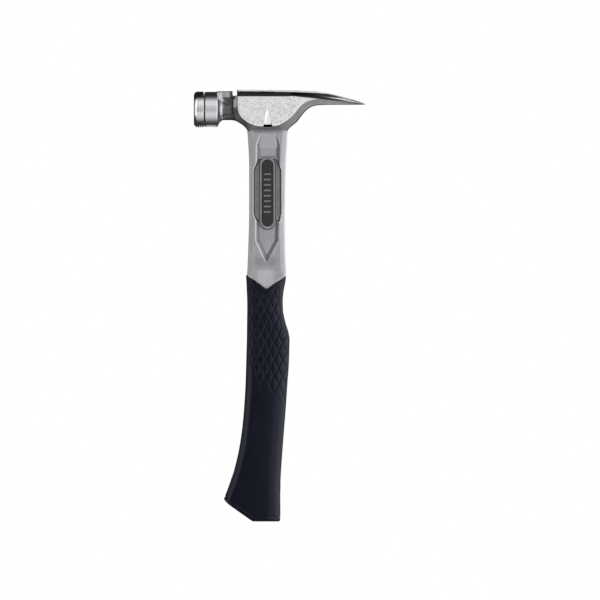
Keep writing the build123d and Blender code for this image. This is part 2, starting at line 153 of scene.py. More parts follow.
def titanium():
    """Bead-blasted cast titanium, with ground cheeks and a turned poll ring; its darker and lighter patches are painted
    shade and painted highlights.
    """
    m = Mat("titanium_cast")
    x, y, z = m.axes()
    ay = m.math("ABSOLUTE", y)

    def both(*masks):
        out = masks[0]
        for k in masks[1:]:
            out = m.math("MULTIPLY", out, k)
        return out

    def within(value, lo, hi, soft=0.0002):
        return both(m.span(value, lo - soft, lo + soft), m.span(value, hi + soft, hi - soft))

    # where the finishes, the painted shade and the painted highlights are
    cheek = both(m.span(ay, 0.01128, 0.01145), m.span(x, -0.0262, -0.0250))
    ring = m.span(x, -0.0412, -0.0416)
    # painted shade on the concave neck and where it meets the cheek
    neck_shade = both(m.span(x, -0.0378, -0.0352), m.span(x, -0.0276, -0.0284), m.span(z, 0.3626, 0.3606))
    neck_end_shade = both(within(x, -0.0312, -0.0266, 0.0004), m.span(z, 0.3600, 0.3610))
    neck_shade = m.math("MAXIMUM", neck_shade, neck_end_shade)
    offset = m.math("ABSOLUTE", m.math("SUBTRACT", x, 0.00124))
    # painted highlight on the nail puller's ramp
    ramp_highlight = both(m.span(ay, 0.01136, 0.01126), m.span(offset, 0.0037, 0.0034), within(z, 0.3388, 0.3532))
    # painted shadow in the nail puller's pocket
    pocket_shadow = both(m.span(ay, 0.01145, 0.01125), m.span(offset, 0.0042, 0.0038), within(z, 0.3371, 0.3389))
    # painted shade on the recessed strips either side of the inlay
    strip = both(m.span(ay, 0.0055, 0.0050), within(z, 0.2590, 0.3070, 0.0030), m.span(offset, 0.0126, 0.0120))
    # painted shade on the bezel round the inlay
    bezel = both(m.span(ay, 0.0050, 0.0055), m.span(ay, 0.0092, 0.0088), within(z, 0.2508, 0.3122, 0.0004), m.span(offset, 0.0072, 0.0068))
    crown = both(m.span(z, 0.3630, 0.3640), m.span(ay, 0.0108, 0.0100), m.span(x, -0.0262, -0.0250))
    # painted highlight along the cheek's lower edge
    edge_highlight = both(within(ay, 0.01118, 0.01144, 0.00005), m.span(x, 0.0200, 0.0080), m.span(x, -0.0262, -0.0250), m.span(z, 0.3620, 0.3600))
    # painted shade on the bevel under the cheek
    low = m.math("MAXIMUM", m.span(z, 0.3585, 0.3510), both(m.span(x, 0.0100, 0.0180), m.span(z, 0.3620, 0.3605)))
    under = both(m.span(ay, 0.0114, 0.0110), low, m.span(z, 0.3328, 0.3346), m.span(x, 0.0540, 0.0260))
    # painted shade on the facet between crown and cheek, which runs out along the claw's top
    drop = m.math("MULTIPLY", m.math("MAXIMUM", m.math("SUBTRACT", x, 0.0200), 0.0), 0.105)
    above = m.math("ADD", z, drop)
    sag = m.math("MULTIPLY", m.math("MAXIMUM", m.math("SUBTRACT", x, 0.0380), 0.0), 0.060)
    facet = both(m.span(above, 0.3630, 0.3636), m.span(m.math("ADD", above, sag), 0.3666, 0.3658), m.span(x, -0.0262, -0.0254), m.span(x, 0.0720, 0.0600))
    # painted highlight on the cone behind the poll and on the cheek's front rim
    cone_highlight = m.math("MAXIMUM", within(x, -0.0410, -0.0374, 0.0003), both(within(x, -0.0290, -0.0256, 0.0005), within(z, 0.3535, 0.3600, 0.0010), m.span(ay, 0.0080, 0.0090), m.span(ay, 0.01145, 0.01130)))
    middle = m.math("ABSOLUTE", m.math("ADD", x, 0.0006))
    # painted highlight and painted shade on the collar's facets
    collar_highlight = both(m.span(middle, 0.0090, 0.0050), within(z, 0.1990, 0.2146, 0.0014))
    collar_shade = both(m.span(middle, 0.0110, 0.0070), within(z, 0.2182, 0.2260, 0.0022))
    height = m.n("ShaderNodeAttribute", attribute_name="relief").outputs["Fac"]
    # painted shade in hollows and painted highlight on raised edges, from the relief attribute
    hollow_shade = m.span(height, -0.02, -0.14)
    proud = both(m.span(height, 0.02, 0.14), m.span(z, 0.3610, 0.3590))
    # texture
    cloud = m.noise(70, 4, 0.6)
    grain = m.noise(2600, 3, 0.7)
    coarse = m.noise(900, 2, 0.6)
    streak = m.noise(420, 3, 0.6, m.scaled(1.0, 1.0, 0.09))
    flake = m.voronoi(1500, out="Color", vector=m.scaled(1.0, 1.0, 0.55))
    sep = m.n("ShaderNodeSeparateXYZ")
    m.put(sep.inputs[0], flake)
    flake = sep.outputs[0]
    base = m.ramp(cloud, (0.3, grey(0.445, TI)), (0.7, grey(0.505, TI)))
    base = m.mix(1.0, base, m.ramp(grain, (0.35, grey(0.84)), (0.65, grey(1.06))), "MULTIPLY")
    base = m.mix(1.0, base, m.ramp(streak, (0.35, grey(0.92)), (0.65, grey(1.05))), "MULTIPLY")
    # painted shade in hollows, then painted highlight on raised edges
    base = m.mix(m.math("MULTIPLY", hollow_shade, 0.75), base, (0.10, 0.10, 0.105, 1))
    base = m.mix(m.math("MULTIPLY", proud, 0.38), base, (0.86, 0.85, 0.88, 1))
    # painted highlight and painted shade on the collar
    base = m.mix(m.math("MULTIPLY", collar_highlight, 0.46), base, (0.70, 0.69, 0.72, 1))
    base = m.mix(m.math("MULTIPLY", collar_shade, 0.40), base, (0.22, 0.215, 0.23, 1))
    # painted shade: the bevel under the cheek is coloured dark
    base = m.mix(m.math("MULTIPLY", under, m.span(x, -0.0180, -0.0100, 0.95, 0.78)), base, m.ramp(cloud, (0.3, grey(0.10, TI)), (0.7, grey(0.13, TI))))
    # painted highlight: the cheek's edge is coloured near white
    base = m.mix(edge_highlight, base, (0.98, 0.98, 0.98, 1))
    # painted highlight: lighter colour on the cone and the cheek's front rim
    base = m.mix(cone_highlight, base, m.ramp(cloud, (0.3, grey(0.60, TI)), (0.7, grey(0.68, TI))))
    # ground cheeks: bright flakes, each at its own angle
    ground = m.ramp(flake, (0.0, grey(0.72, (1.0, 0.99, 1.01))), (0.5, grey(0.90)), (1.0, grey(1.0)))
    base = m.mix(cheek, base, ground)
    base = m.mix(ring, base, m.ramp(m.noise(300, 2, 0.5, m.scaled(6, 0.4, 0.4)), (0.3, grey(0.66, TI)), (0.7, grey(0.74, TI))))
    # painted shade: the neck is coloured near black
    base = m.mix(neck_shade, base, m.ramp(coarse, (0.3, grey(0.075, TI)), (0.7, grey(0.115, TI))))
    # painted shade: darker colour on the recessed strips beside the inlay
    base = m.mix(strip, base, m.ramp(cloud, (0.3, grey(0.20, TI)), (0.7, grey(0.27, TI))))
    # painted shade: darker colour on the bezel round the inlay
    base = m.mix(bezel, base, m.ramp(cloud, (0.3, grey(0.25, TI)), (0.7, grey(0.32, TI))))
    # painted highlight: the puller ramp is coloured near white
    base = m.mix(ramp_highlight, base, m.ramp(cloud, (0.3, grey(0.96)), (0.7, grey(1.0))))
    # painted shade: the facet below the crown is coloured near black
    base = m.mix(facet, base, m.ramp(cloud, (0.3, grey(0.032, TI)), (0.7, grey(0.046, TI))))
    # painted shadow: the puller pocket is coloured near black
    base = m.mix(pocket_shadow, base, m.ramp(cloud, (0.3, grey(0.004)), (0.7, grey(0.010))))
    rough = m.span(grain, 0.3, 0.7, 0.34, 0.44)
    rough = m.mix(cheek, rough, m.span(flake, 0, 1, 0.28, 0.44))
    rough = m.mix(ring, rough, m.span(coarse, 0.3, 0.7, 0.24, 0.30))
    rough = m.mix(crown, rough, m.span(grain, 0.3, 0.7, 0.17, 0.25))
    rough = m.mix(ramp_highlight, rough, m.span(grain, 0.3, 0.7, 0.22, 0.30))
    b1 = m.bump(grain, 0.35, 0.00010)
    b2 = m.bump(coarse, 0.20, 0.00015, b1)
    b3 = m.bump(both(flake, cheek), 0.6, 0.00012, b2)
    m.set(Base_Color=base, Metallic=1.0, Roughness=rough, Normal=b3)
    return m.m


def polished_steel():
    """Turned and polished hardened steel."""
    m = Mat("polished_steel")
    turned = m.noise(5200, 2, 0.6, m.scaled(1.0, 0.02, 0.02))
    smear = m.noise(160, 3, 0.6)
    base = m.ramp(smear, (0.3, (0.585, 0.58, 0.565)), (0.7, (0.665, 0.66, 0.645)))
    rough = m.span(smear, 0.3, 0.7, 0.11, 0.17)
    m.set(Base_Color=base, Metallic=1.0, Roughness=rough, Normal=m.bump(turned, 0.10, 0.00008))
    return m.m


def grip_rubber():
    """Matt blue-black rubber, glossier where it turns away."""
    m = Mat("grip_rubber")
    pores = m.noise(3000, 2, 0.6)
    dust = m.noise(120, 4, 0.6)
    base = m.ramp(dust, (0.3, (0.0028, 0.0032, 0.0076)), (0.75, (0.0050, 0.0057, 0.0122)))
    facing = m.n("ShaderNodeLayerWeight")
    facing.inputs["Blend"].default_value = 0.5
    gloss = m.span(facing.outputs["Facing"], 0.01, 0.30, 0.085, 0.34)
    m.set(Base_Color=base, Roughness=m.span(pores, 0.3, 0.7, 0.40, 0.54), Specular_IOR_Level=gloss, Specular_Tint=(0.92, 0.96, 1.18, 1), Normal=m.bump(pores, 0.25, 0.0001))
    return m.m


def seal_rubber():
    m = Mat("seal_rubber")
    pores = m.noise(2500, 2, 0.6)
    m.set(Base_Color=m.ramp(pores, (0.3, (0.012, 0.012, 0.012)), (0.7, (0.025, 0.025, 0.025))), Roughness=m.span(pores, 0.3, 0.7, 0.55, 0.7), Normal=m.bump(pores, 0.3, 0.0001))
    return m.m


def magnet_nickel():
    m = Mat("magnet_nickel")
    scuff = m.noise(900, 3, 0.6, m.scaled(1, 6, 1))
    m.set(Base_Color=m.ramp(scuff, (0.3, (0.50, 0.49, 0.47)), (0.7, (0.66, 0.65, 0.62))), Metallic=1.0, Roughness=m.span(scuff, 0.3, 0.7, 0.18, 0.34), Normal=m.bump(scuff, 0.1, 0.00005))
    return m.m


def inlay_black():
    m = Mat("inlay_black")
    g = m.noise(1800, 3, 0.6)
    m.set(Base_Color=m.ramp(g, (0.3, (0.010, 0.010, 0.011)), (0.7, (0.018, 0.018, 0.019))), Roughness=m.span(g, 0.3, 0.7, 0.42, 0.58), Normal=m.bump(g, 0.25, 0.0001))
    return m.m


def put_material(obj, mat):
    obj.data.materials.clear()
    obj.data.materials.append(mat)
    for p in obj.data.polygons:
        p.material_index = 0


MAT = {
    "titanium_body": titanium(), "striking_face": polished_steel(), "rubber_grip": grip_rubber(),
    "face_seal_ring": seal_rubber(), "nail_magnet": magnet_nickel(), "inlay_front": inlay_black(),
}
MAT["inlay_back"] = MAT["inlay_front"]
for node, mat in MAT.items():
    put_material(N[node], mat)



# ------------------------------------------------------------------ meshes
def mm(v):
    return v * 0.001


def new_object(name, verts, faces, smooth=True):
    me = bpy.data.meshes.new(name)
    me.from_pydata([tuple(v) for v in verts], [], [tuple(f) for f in faces])
    me.validate()
    me.update()
    ob = bpy.data.objects.new(name, me)
    scene.collection.objects.link(ob)
    if smooth:
        me.polygons.foreach_set("use_smooth", [True] * len(me.polygons))
    return ob


def smoothstep(a, b, x):
    t = np.clip((x - a) / (b - a), 0, 1)
    return t * t * (3 - 2 * t)


def coords(me):
    co = np.empty(len(me.vertices) * 3)
    me.vertices.foreach_get("co", co)
    return co.reshape(-1, 3)


def relax(me, weight, rounds):
    """Moves each vertex towards the mean of its neighbours, by its weight, and back a little so that nothing shrinks."""
    co = coords(me)
    ed = np.empty(len(me.edges) * 2, np.int64)
    me.edges.foreach_get("vertices", ed)
    a, b = ed[0::2], ed[1::2]
    n = np.bincount(a, minlength=len(co)) + np.bincount(b, minlength=len(co))
    n = np.maximum(n, 1)[:, None]
    w = np.asarray(weight).reshape(-1, 1)
    for i in range(rounds):
        for k in (0.5, -0.47):
            mean = np.zeros_like(co)
            for c in range(3):
                mean[:, c] = np.bincount(a, co[b, c], len(co)) + np.bincount(b, co[a, c], len(co))
            co = co + k * w * (mean / n - co)
    me.vertices.foreach_set("co", co.ravel())
    me.update()


def relief(me, rounds):
    """Stores how far each vertex stands proud of (or sinks below) a smoothed copy of the surface, in mm."""
    co = coords(me)
    ed = np.empty(len(me.edges) * 2, np.int64)
    me.edges.foreach_get("vertices", ed)
    a, b = ed[0::2], ed[1::2]
    n = np.maximum(np.bincount(a, minlength=len(co)) + np.bincount(b, minlength=len(co)), 1)[:, None]
    soft = co.copy()
    for i in range(rounds):
        mean = np.zeros_like(soft)
        for c in range(3):
            mean[:, c] = np.bincount(a, soft[b, c], len(co)) + np.bincount(b, soft[a, c], len(co))
        soft = 0.4 * soft + 0.6 * mean / n
    nrm = np.empty(len(co) * 3)
    me.vertices.foreach_get("normal", nrm)
    value = ((co - soft) * nrm.reshape(-1, 3)).sum(1) * 1000
    at = me.attributes.new("relief", "FLOAT", "POINT")
    at.data.foreach_set("value", value)


def cast(node, name, voxel, keep_above=None):
    """A copy of a CAD node's mesh with every edge softened, as on a casting."""
    me = N[node].data.copy()
    bm = bmesh.new()
    bm.from_mesh(me)
    bmesh.ops.remove_doubles(bm, verts=bm.verts, dist=1e-7)
    if keep_above is not None:
        r = bmesh.ops.bisect_plane(bm, geom=bm.verts[:] + bm.edges[:] + bm.faces[:], plane_co=(0, 0, keep_above), plane_no=(0, 0, 1), clear_inner=True)
        bmesh.ops.holes_fill(bm, edges=[e for e in bm.edges if e.is_boundary], sides=0)
    bm.to_mesh(me)
    bm.free()
    ob = bpy.data.objects.new(name, me)
    scene.collection.objects.link(ob)
    mod = ob.modifiers.new("cast", "REMESH")
    mod.mode = "VOXEL"
    mod.voxel_size = voxel
    mod.use_smooth_shade = True
    dg = bpy.context.evaluated_depsgraph_get()
    out = bpy.data.meshes.new_from_object(ob.evaluated_get(dg))
    ob.modifiers.clear()
    ob.data = out
    bpy.data.meshes.remove(me)
    return ob


body = cast("titanium_body", "titanium_body_cast", 0.00042, keep_above=mm(191.6))
co = coords(body.data)
relax(body.data, np.full(len(co), 1.0), 6)
co = coords(body.data)
lower = smoothstep(0.3608, 0.3634, co[:, 2]) * (1 - smoothstep(0.3643, 0.3662, co[:, 2]))
lower *= smoothstep(0.0080, 0.0105, np.abs(co[:, 1])) * smoothstep(-0.0262, -0.0235, co[:, 0]) * (1 - smoothstep(0.0190, 0.0240, co[:, 0]))
co[:, 2] -= 0.00085 * lower
body.data.vertices.foreach_set("co", co.astype(np.float32).ravel())
body.data.update()
print("body", len(body.data.polygons))
relief(body.data, 14)
put_material(body, MAT["titanium_body"])
body.data.polygons.foreach_set("use_smooth", [True] * len(body.data.polygons))
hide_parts("titanium_body")
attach(body, "root")


# ------------------------------------------------------------- rubber grip
# height, face-side edge, claw-side edge and half thickness of the grip, in mm
GRIP_ROWS = np.array([
    (0.0, -36.25, 11.80, 11.9), (8.11, -36.25, 12.10, 12.35), (18.35, -36.23, 11.99, 12.8), (21.76, -35.21, 11.99, 12.9),
    (28.59, -32.65, 12.16, 13.0), (35.42, -30.26, 12.25, 13.0), (42.25, -27.87, 12.59, 13.0), (49.08, -26.07, 13.02, 13.0),
    (55.90, -24.45, 13.53, 13.0), (62.73, -23.09, 14.04, 13.0), (76.39, -20.95, 15.06, 13.0), (90.04, -19.50, 16.17, 13.0),
    (103.70, -18.48, 17.20, 13.0), (117.36, -17.71, 18.05, 13.0), (134.43, -17.20, 19.33, 12.9), (148.08, -16.77, 19.76, 12.8),
    (154.91, -16.60, 19.93, 12.7), (161.74, -16.52, 18.91, 12.6), (168.57, -16.43, 16.77, 12.4), (175.39, -16.34, 15.15, 12.2),
    (182.22, -16.26, 14.21, 12.0), (189.05, -16.34, 14.13, 11.7), (195.88, -16.60, 14.72, 11.3), (202.71, -16.86, 16.00, 10.9),
    (207.83, -17.20, 16.77, 10.6), (214.0, -17.28, 16.77, 10.4),
])
TOE = np.array([(-40.0, 18.0), (-36.06, 18.01), (-32.30, 14.42), (-22.15, 7.34), (-11.65, 0.0), (40.0, 0.0)])
MOUTH = np.array([(-40.0, 197.54 + 40.38 * 0.7312), (0.38, 197.54), (40.0, 197.54 + 39.62 * 0.7400)])
GRIP_COLS = 256


def hermite(xs, ys, x):
    """A smooth curve through points, with no overshoot to speak of."""
    xs, ys, x = np.asarray(xs, float), np.asarray(ys, float), np.asarray(x, float)
    slope = np.diff(ys) / np.diff(xs)
    m = np.concatenate([[slope[0]], np.where(slope[1:] * slope[:-1] > 0, 2 * slope[1:] * slope[:-1] / (slope[1:] + slope[:-1] + 1e-12), 0.0), [slope[-1]]])
    i = np.clip(np.searchsorted(xs, x) - 1, 0, len(xs) - 2)
    h = xs[i + 1] - xs[i]
    t = np.clip((x - xs[i]) / h, 0, 1)
    return (2 * t**3 - 3 * t**2 + 1) * ys[i] + (t**3 - 2 * t**2 + t) * h * m[i] + (-2 * t**3 + 3 * t**2) * ys[i + 1] + (t**3 - t**2) * h * m[i + 1]


def grip_section(z):
    """The grip's outline at a height: a crowned side, a chamfer towards the face and a rounder one towards the claw."""
    r = GRIP_ROWS
    x0, x1, h = (float(hermite(r[:, 0], r[:, k], z)) for k in (1, 2, 3))
    half = [
        (x0, 0.0), (x0 + 0.25, h * 0.34), (x0 + 1.0, h - 5.1), (x0 + 5.3, h - 0.55), (x0 + 8.5, h - 0.05),
        (x0 + 0.52 * (x1 - x0), h), (x1 - 9.8, h - 0.75), (x1 - 4.4, h - 3.1), (x1 - 1.1, h - 6.6), (x1 - 0.2, h * 0.25), (x1, 0.0),
    ]
    pts = np.array([(x, -y) for x, y in half] + [(x, y) for x, y in half[-2:0:-1]])
    loop = np.vstack([pts, pts[:1]])
    d = np.concatenate([[0], np.cumsum(np.hypot(*np.diff(loop, axis=0).T))])
    n = 1024
    s = np.arange(n) / n * d[-1]
    xy = np.stack([np.interp(s, d, loop[:, 0]), np.interp(s, d, loop[:, 1])], 1)
    sigma = 1.9 / (d[-1] / n)
    k = np.fft.fftfreq(n) * n
    low = np.exp(-0.5 * (2 * np.pi * k * sigma / n) ** 2)
    xy = np.real(np.fft.ifft(np.fft.fft(xy, axis=0) * low[:, None], axis=0))
    lo, hi = xy.min(0), xy.max(0)
    xy = (xy - lo) / (hi - lo) * (np.array([x1, h]) - np.array([x0, -h])) + np.array([x0, -h])
    loop = np.vstack([xy, xy[:1]])
    d = np.concatenate([[0], np.cumsum(np.hypot(*np.diff(loop, axis=0).T))])
    s = np.arange(GRIP_COLS) / GRIP_COLS * d[-1]
    return np.stack([np.interp(s, d, loop[:, 0]), np.interp(s, d, loop[:, 1])], 1)


LEVEL = 1.0
GRIP_TABLE = np.array([grip_section(z) for z in np.arange(0, 215, LEVEL)])


def grip_xy(z):
    """Outline points at a different height in each column. z has one row for each ring."""
    t = np.clip(z / LEVEL, 0, len(GRIP_TABLE) - 1.001)
    i = t.astype(int)
    f = (t - i)[..., None]
    j = np.broadcast_to(np.arange(GRIP_COLS), z.shape)
    return GRIP_TABLE[i, j] * (1 - f) + GRIP_TABLE[i + 1, j] * f


def toe_height(x):
    """Lowest height of the grip at a place along it, with the toe's corners eased."""
    m = np.interp(x, TOE[:, 0], TOE[:, 1])
    w = np.interp(x - 1.2, TOE[:, 0], TOE[:, 1]), np.interp(x + 1.2, TOE[:, 0], TOE[:, 1])
    return 0.5 * m + 0.25 * (w[0] + w[1])


def mouth_height(x):
    m = np.interp(x, MOUTH[:, 0], MOUTH[:, 1])
    w = np.interp(x - 0.5, MOUTH[:, 0], MOUTH[:, 1]), np.interp(x + 0.5, MOUTH[:, 0], MOUTH[:, 1])
    return 0.5 * m + 0.25 * (w[0] + w[1])


def line_distance(x, z, line):
    """How far points are from a broken line."""
    best = np.full(np.shape(x), 1e9)
    for (ax, az), (bx, bz) in zip(line[:-1], line[1:]):
        ux, uz = bx - ax, bz - az
        t = np.clip(((x - ax) * ux + (z - az) * uz) / (ux * ux + uz * uz), 0, 1)
        best = np.minimum(best, np.hypot(x - ax - t * ux, z - az - t * uz))
    return best


def build_grip():
    rows = np.concatenate([
        [0, 0.12, 0.3, 0.55, 0.85], np.arange(1.2, 6.6, 0.38), np.arange(7.0, 126.0, 1.5),
        np.arange(126.0, 210.2, 0.42), [210.6, 210.9, 211.15, 211.3, 211.4],
    ])
    top = 211.4
    z = np.repeat(rows[:, None], GRIP_COLS, 1)
    zi = z.copy()
    for _ in range(6):
        xy = grip_xy(zi)
        x = xy[..., 0]
        zt, zb = mouth_height(x), toe_height(x)
        zi = np.where(z > 150, 150 + (z - 150) / (top - 150) * (zt - 150), np.where(z < 60, zb + z / 60 * (60 - zb), z))
    p = np.concatenate([xy, zi[..., None]], 2)

    # outward normals of the smooth skin
    du = np.roll(p, -1, 1) - np.roll(p, 1, 1)
    dv = np.gradient(p, axis=0)
    nrm = np.cross(du, dv)
    nrm /= np.linalg.norm(nrm, axis=2, keepdims=True) + 1e-12
    side = np.stack([nrm[..., 0], nrm[..., 1], np.zeros_like(x)], 2)
    side /= np.linalg.norm(side, axis=2, keepdims=True) + 1e-12

    x, y, zz = p[..., 0], p[..., 1], p[..., 2]
    d_top = line_distance(x, zz, MOUTH)
    d_toe = line_distance(x, zz, TOE)
    # diamond knurl on both sides
    PX, PZ = 7.016, 14.253
    u = (x - 13.44) / PX - (zz - 152.6) / PZ
    v = (x - 13.44) / PX + (zz - 152.6) / PZ
    per = 1 / math.hypot(1 / PX, 1 / PZ)          # distance between grooves
    du_, dv_ = np.abs(u - np.round(u)) * per, np.abs(v - np.round(v)) * per
    ridge = np.interp(zz, [150.0, 159.2, 166.9, 196.7, 215.0], [40.0, 18.1, 12.9, 10.97, 10.6])
    lower = np.interp(x, [-15.0, 18.6], [133.9, 109.3])
    in_top = d_top - 4.3
    in_left = x + 15.2
    in_ridge = ridge - x
    in_side = np.abs(y) - 5.0

    def cell(du2, dv2):
        """1 where the pad round a point belongs to the knurl's lower end."""
        a, b = np.floor(u + du2) + 0.5, np.floor(v + dv2) + 0.5
        cx, cz = (a + b) / 2 * PX + 13.44, (b - a) / 2 * PZ + 152.6
        return (cz > np.interp(cx, [-15.0, 18.6], [131.5, 107.0])).astype(float)

    e = 0.12
    pads = np.maximum.reduce([cell(e, 0), cell(-e, 0), cell(0, e), cell(0, -e), cell(0, 0)])
    own = cell(0, 0)

    def inside(*ds):
        m = np.ones_like(x)
        for d in ds:
            m = m * smoothstep(0.0, 0.5, d)
        return m

    zone = inside(in_top, in_left, in_ridge, in_side)
    near = np.minimum(du_, dv_)
    groove = (1 - smoothstep(0.30, 0.85, near)) * zone * pads
    border = np.minimum.reduce([np.abs(in_top), np.abs(in_ridge) + 10.0 * (zz < 158)])
    border_on = smoothstep(-0.6, 0.1, in_left) * smoothstep(-0.6, 0.1, in_ridge) * smoothstep(-0.6, 0.1, in_top) * smoothstep(0, 0.6, in_side)
    edge_line = (1 - smoothstep(0.25, 0.65, border)) * border_on
    left_line = (1 - smoothstep(0.2, 0.6, np.abs(in_left))) * smoothstep(0, 0.5, in_top + 0.4) * smoothstep(132.0, 134.0, zz) * smoothstep(0, 0.6, in_side)
    depth = np.maximum.reduce([0.62 * groove, 0.45 * edge_line, 0.35 * left_line])
    dome = 0.16 * smoothstep(0.7, 3.0, near) * zone * own
    # moulded rim round the butt, and a fine line down the chamfer of the face side
    rim = (1 - smoothstep(0.22, 0.62, np.abs(d_toe - 3.6))) * 0.42
    lip = (1 - smoothstep(0.15, 0.6, np.abs(d_toe - 2.3))) * -0.08
    left_edge = np.repeat(GRIP_TABLE[np.clip((zz / LEVEL).astype(int), 0, len(GRIP_TABLE) - 1), 0, 0][..., None], 1, 2)[..., 0]
    seam = (1 - smoothstep(0.15, 0.5, np.abs(x - left_edge - 2.1))) * 0.28 * smoothstep(5.2, 6.5, d_toe) * (1 - smoothstep(92.0, 97.0, zz)) * smoothstep(4.0, 5.0, np.abs(y))
    lower_fade = smoothstep(0.6, 2.2, d_toe)
    push = -(depth + rim + lip * 1.0 + seam) + dome
    r_top, r_toe = 0.7, 1.5
    round_top = r_top * (1 - np.sqrt(np.clip(1 - np.clip(1 - d_top / r_top, 0, 1) ** 2, 0, 1)))
    round_toe = r_toe * (1 - np.sqrt(np.clip(1 - np.clip(1 - d_toe / r_toe, 0, 1) ** 2, 0, 1)))
    q = p + side * (push - round_top - round_toe)[..., None]

    verts, faces = [], []
    nr = len(rows)
    verts.extend(q.reshape(-1, 3))

    def vid(i, j):
        return i * GRIP_COLS + j % GRIP_COLS

    for i in range(nr - 1):
        for j in range(GRIP_COLS):
            faces.append((vid(i, j), vid(i, j + 1), vid(i + 1, j + 1), vid(i + 1, j)))

    def ring(points):
        start = len(verts)
        verts.extend(points)
        return start

    def bridge(a, b, flip=False):
        for j in range(GRIP_COLS):
            k = (j + 1) % GRIP_COLS
            f = (a + j, a + k, b + k, b + j)
            faces.append(f[::-1] if flip else f)

    # butt: rings that close towards the middle
    base = q[0]
    centre = np.array([-9.5, 0.0])
    last = 0
    for s in (0.985, 0.96, 0.92, 0.86, 0.78, 0.68, 0.56, 0.43, 0.30, 0.17, 0.07):
        xy2 = centre + (base[:, :2] - centre) * s
        zc = toe_height(xy2[:, 0]) + (base[:, 2] - toe_height(base[:, 0])) * s**6
        start = ring(np.column_stack([xy2, zc]))
        bridge(start, last)
        last = start
    verts.append((centre[0], centre[1], float(toe_height(np.array([centre[0]]))[0])))
    tip = len(verts) - 1
    for j in range(GRIP_COLS):
        faces.append((tip, last + (j + 1) % GRIP_COLS, last + j))

    # mouth and socket
    rim_ring = q[-1]
    ang = np.arctan2(rim_ring[:, 1], rim_ring[:, 0] - 0.2)

    def polar(poly, cx):
        """Points on a convex outline in each column's direction."""
        out = np.zeros((GRIP_COLS, 2))
        poly = np.array(poly, float) - np.array([cx, 0])
        loop = np.vstack([poly, poly[:1]])
        for j, t in enumerate(ang):
            c, s = math.cos(t), math.sin(t)
            best = 1e9
            for a, b in zip(loop[:-1], loop[1:]):
                den = c * (b[1] - a[1]) - s * (b[0] - a[0])
                if abs(den) < 1e-12:
                    continue
                r = (a[0] * (b[1] - a[1]) - a[1] * (b[0] - a[0])) / den
                w = ((r * c - a[0]) * (b[0] - a[0]) + (r * s - a[1]) * (b[1] - a[1])) / ((b[0] - a[0]) ** 2 + (b[1] - a[1]) ** 2)
                if r > 0 and -1e-6 <= w <= 1 + 1e-6:
                    best = min(best, r)
            out[j] = (cx + best * c, best * s)
        return out

    def box2(x0, x1, h):
        return [(x0, -h), (x1, -h), (x1, h), (x0, h)]

    g = 0.03
    hexagon = [(-7.2 - g, 0), (-4.0 - g, -4.6 - g), (4.0 + g, -4.6 - g), (7.2 + g, 0), (4.0 + g, 4.6 + g), (-4.0 - g, 4.6 + g)]
    last = (nr - 1) * GRIP_COLS
    inner_top = polar(box2(-12.5 - g, 12.9 + g, 5.6 + g), 0.2)
    for t in (0.12, 0.4, 0.7, 1.0):
        xy2 = rim_ring[:, :2] + (inner_top - rim_ring[:, :2]) * t
        zc = mouth_height(xy2[:, 0]) + (rim_ring[:, 2] - mouth_height(rim_ring[:, 0])) * (1 - t) ** 4
        start = ring(np.column_stack([xy2, zc]))
        bridge(last, start)
        last = start
    for shape, height in (
        (box2(-11.75 - g, 11.32 + g, 5.6 + g), 195.88), (box2(-9.2 - g, 8.8 + g, 5.6 + g), 192.9), (box2(-7.3 - g, 7.3 + g, 5.6 + g), 189.9),
        (hexagon, 189.7), (hexagon, 120.0), (hexagon, 60.0), (hexagon, 16.0 - g),
    ):
        start = ring(np.column_stack([polar(shape, 0.0 if shape is hexagon else 0.2), np.full(GRIP_COLS, height)]))
        bridge(last, start)
        last = start
    verts.append((0.0, 0.0, 16.0 - g))
    tip = len(verts) - 1
    for j in range(GRIP_COLS):
        faces.append((last + j, last + (j + 1) % GRIP_COLS, tip))
    ob = new_object("grip_skin", np.array(verts) * 0.001, faces)
    bm = bmesh.new()
    bm.from_mesh(ob.data)
    bmesh.ops.recalc_face_normals(bm, faces=bm.faces)
    bm.to_mesh(ob.data)
    bm.free()
    return ob


grip = build_grip()
put_material(grip, MAT["rubber_grip"])
grip.data.polygons.foreach_set("use_smooth", [True] * len(grip.data.polygons))
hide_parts("rubber_grip")
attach(grip, "root")


# ------------------------------------------------------------- turned parts
FACE_Z = 351.73
CAP_FRONT, CAP_BACK = -61.84, -53.22


def lathe(name, profile, columns, axis_point, along, radius=None):
    """A closed solid of revolution. profile is (place along the axis, radius); its first and last points lie on the axis.
    radius(place, r, turns) may change the radius round the axis. Turns are right-handed about -X, or about +Z."""
    profile = np.array(profile, float)
    turns = np.arange(columns) / columns
    ang = 2 * np.pi * turns
    verts, faces, start = [], [], []
    for k, (s, r) in enumerate(profile):
        start.append(len(verts))
        if r < 1e-9:
            verts.append((s, 0.0, 0.0))
            continue
        rr = np.full(columns, r) if radius is None else radius(s, r, turns)
        verts.extend(np.column_stack([np.full(columns, s), rr * np.cos(ang), rr * np.sin(ang)]))
    for k in range(len(profile) - 1):
        a, b = start[k], start[k + 1]
        tip_a, tip_b = profile[k][1] < 1e-9, profile[k + 1][1] < 1e-9
        for j in range(columns):
            i = (j + 1) % columns
            if tip_a:
                faces.append((a, b + j, b + i))
            elif tip_b:
                faces.append((a + j, b, a + i))
            else:
                faces.append((a + j, b + j, b + i, a + i))
    v = np.array(verts)
    c = np.array(axis_point, float)
    if along == "X":
        v = np.column_stack([v[:, 0] + c[0], v[:, 2] + c[1], v[:, 1] + c[2]])
    else:
        v = np.column_stack([v[:, 1] + c[0], v[:, 2] + c[1], v[:, 0] + c[2]])
    ob = new_object(name, v * 0.001, faces)
    bm = bmesh.new()
    bm.from_mesh(ob.data)
    bmesh.ops.recalc_face_normals(bm, faces=bm.faces)
    bm.to_mesh(ob.data)
    bm.free()
    return ob


